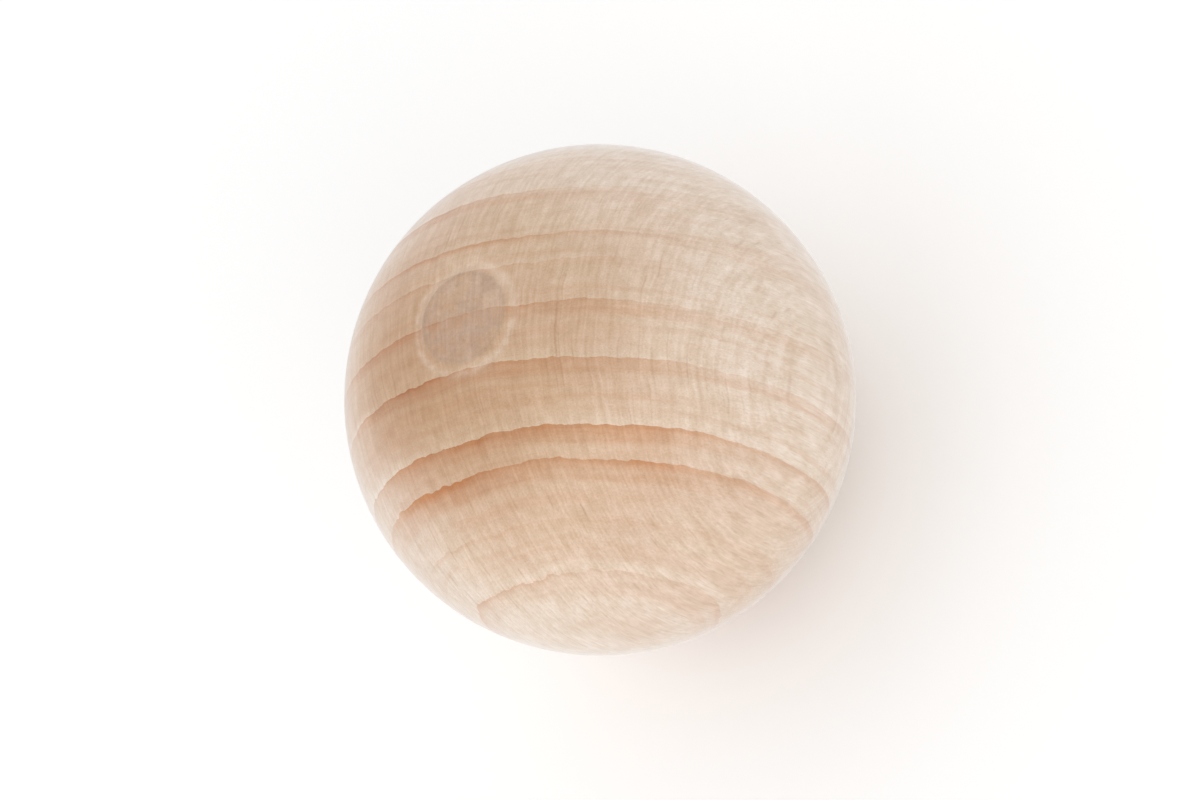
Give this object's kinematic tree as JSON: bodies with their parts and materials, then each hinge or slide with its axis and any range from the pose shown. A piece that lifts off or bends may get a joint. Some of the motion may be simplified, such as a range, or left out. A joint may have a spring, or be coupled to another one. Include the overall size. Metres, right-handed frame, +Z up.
{
  "type": "wooden ball",
  "caption": "Plain turned beech ball without a hole, with a small flat disc and a shallow ring round it at each pole.",
  "frame": {"origin": "centre of the ball, midway between its two flat discs", "axes": "+Z up, along the turning axis and the grain, through the middle of both flat discs; the ball is round about it, so +X and +Y are any two directions square to it"},
  "size_m": [0.03, 0.03, 0.0294],
  "materials": {
    "beech": "bare sanded beech, satin, with growth rings, rays and a greyer end-grain disc at each pole"
  },
  "bodies": {
    "root": {"ball": "beech"}
  },
  "joints": []
}
